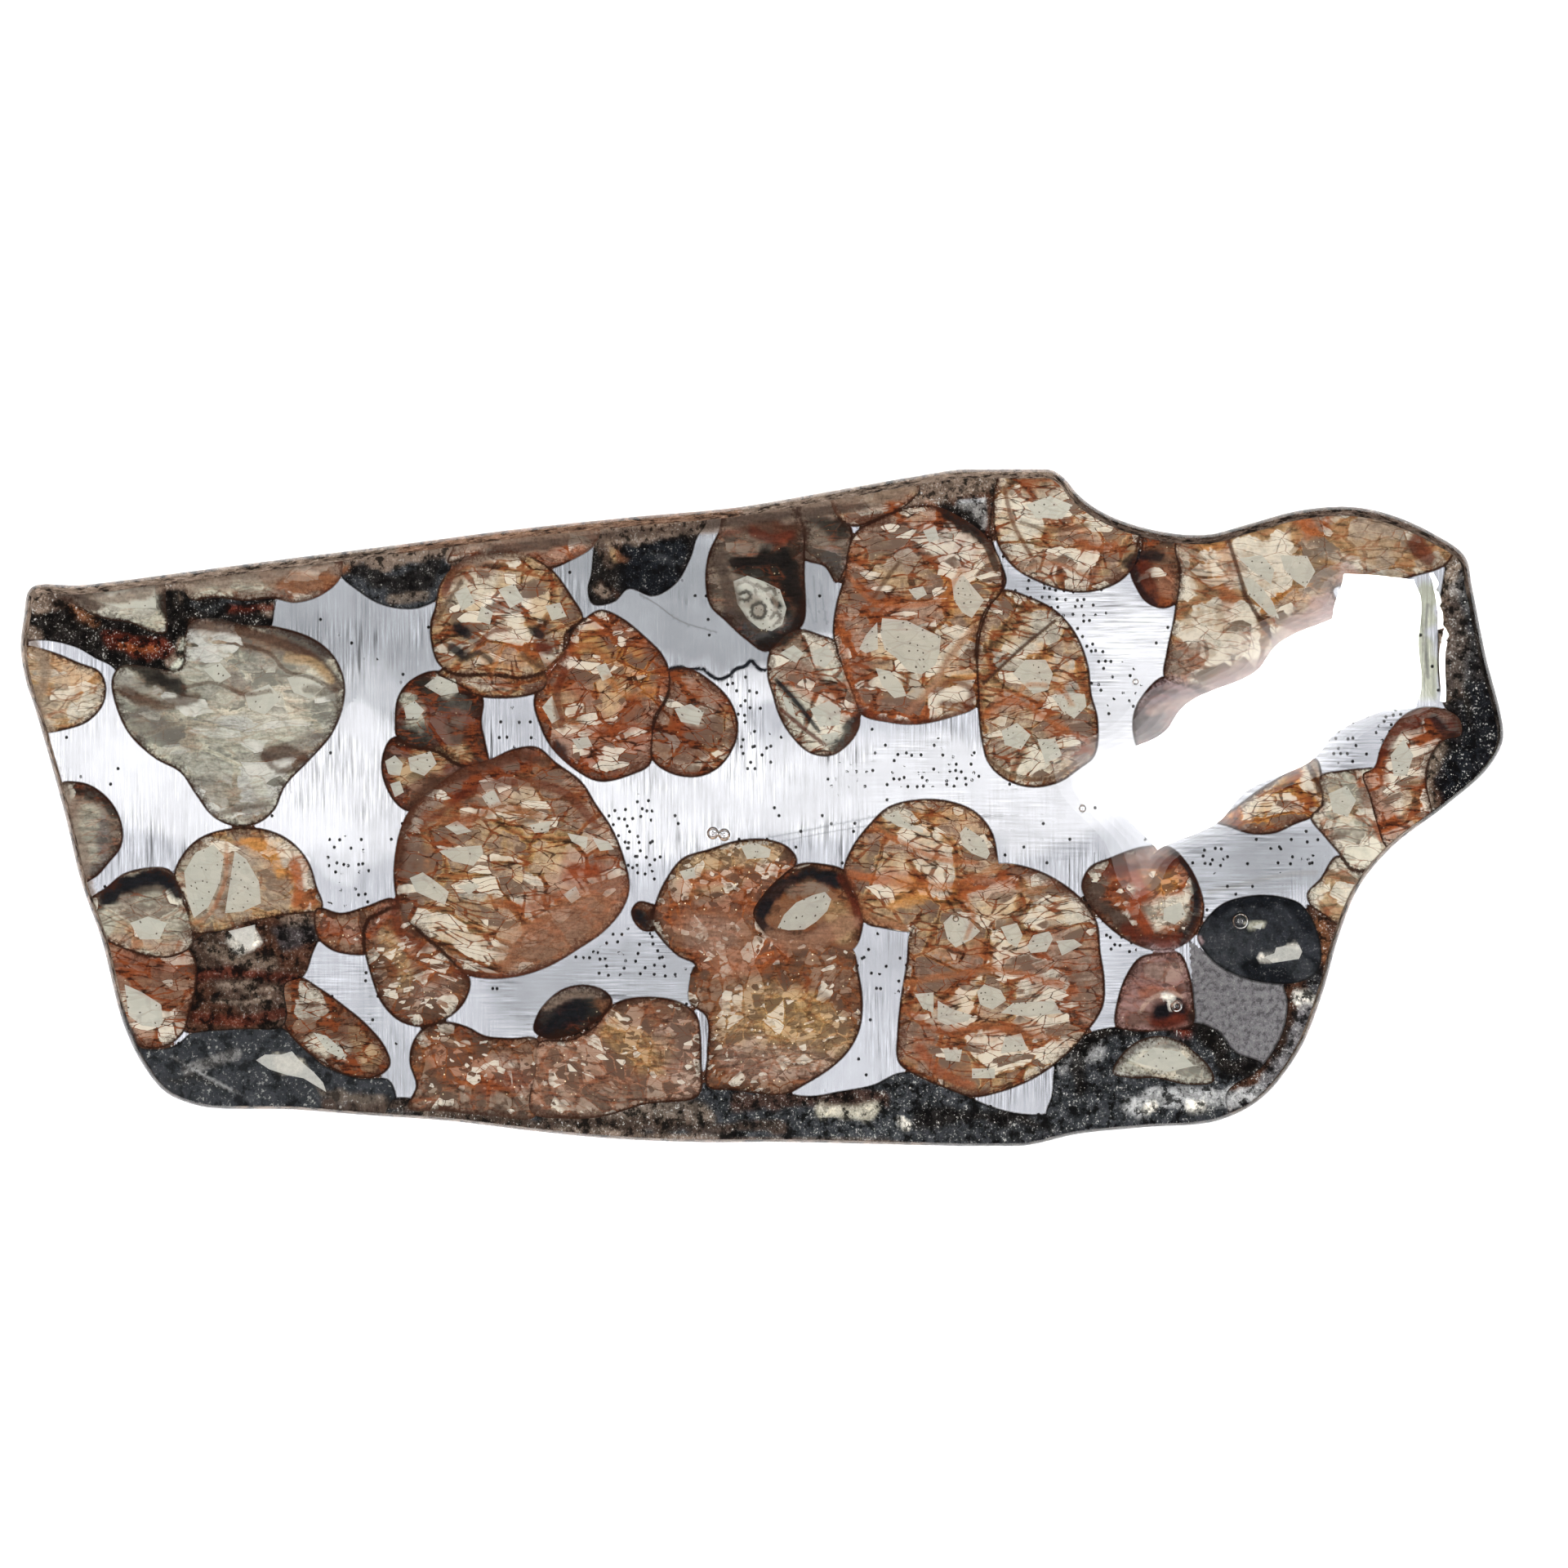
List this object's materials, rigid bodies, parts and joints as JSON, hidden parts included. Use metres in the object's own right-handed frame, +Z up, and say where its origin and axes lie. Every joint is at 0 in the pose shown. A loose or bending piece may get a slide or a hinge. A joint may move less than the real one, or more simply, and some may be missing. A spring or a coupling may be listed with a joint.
{
  "type": "pallasite meteorite slice",
  "caption": "Polished slice of iron-nickel metal packed with amber, brown and pale olive crystals, sealed in a clear resin coat with rounded edges; lies flat on its back.",
  "frame": {"origin": "middle of the slice's bounding box, on the surface that its flat back rests on", "axes": "+X along the slice's length towards its narrow end, +Y across it, +Z up through its polished face"},
  "size_m": [0.09, 0.0412, 0.0044],
  "materials": {
    "metal": "polished, with fine saw scratches and small dark pits",
    "olivine": "polished, cracked, with rust along the cracks",
    "olivine_dark": "polished, dark brown to black",
    "inclusion": "polished, black, slightly metallic",
    "crust": "weathered, speckled brown and black",
    "resin": "clear and glossy"
  },
  "bodies": {
    "root": {"metal_main": "metal", "metal_left": "metal", "metal_far_left": "metal", "metal_sliver": "metal", "metal_pillar": "metal", "metal_below_twin": "metal", "metal_beside_rose": "metal", "metal_lower_left": "metal", "metal_grey_right": "metal", "olivine_amber_left": "olivine", "olivine_amber_right": "olivine", "olivine_black_capped": "olivine", "olivine_body_centre": "olivine", "olivine_brown_left": "olivine_dark", "olivine_brown_lower": "olivine", "olivine_brown_round": "olivine", "olivine_brown_small": "olivine_dark", "olivine_corner": "olivine", "olivine_crescent_right": "olivine", "olivine_dark_lens": "olivine_dark", "olivine_dark_oval": "olivine_dark", "olivine_dark_pair": "olivine", "olivine_double_right": "olivine", "olivine_golden_lower": "olivine", "olivine_great_right": "olivine", "olivine_grey_top": "olivine_dark", "olivine_half_moon": "olivine", "olivine_hexagon": "olivine_dark", "olivine_hooked": "olivine_dark", "olivine_large_left": "olivine", "olivine_linked_left": "olivine", "olivine_oblong": "olivine", "olivine_pair_centre": "olivine", "olivine_pale_left": "olivine", "olivine_pale_lower_right": "olivine", "olivine_pale_right": "olivine", "olivine_rose": "olivine", "olivine_round_top": "olivine", "olivine_rust_left": "olivine", "olivine_rust_oval": "olivine", "olivine_rust_small": "olivine", "olivine_rust_top": "olivine", "olivine_sliver_top": "olivine", "olivine_spotted": "olivine", "olivine_tan_left": "olivine", "olivine_tan_top": "olivine", "olivine_top_strip": "olivine", "olivine_twin_lower_right": "olivine", "olivine_violet_right": "olivine", "inclusion_top": "inclusion", "inclusion_top_left": "inclusion", "vein_upper_left": "crust", "crust_bottom": "crust", "crust_corner": "crust", "crust_lower_right": "crust", "crust_right": "crust", "crust_top": "crust", "resin_back": "resin", "resin_front": "resin"}
  },
  "joints": []
}
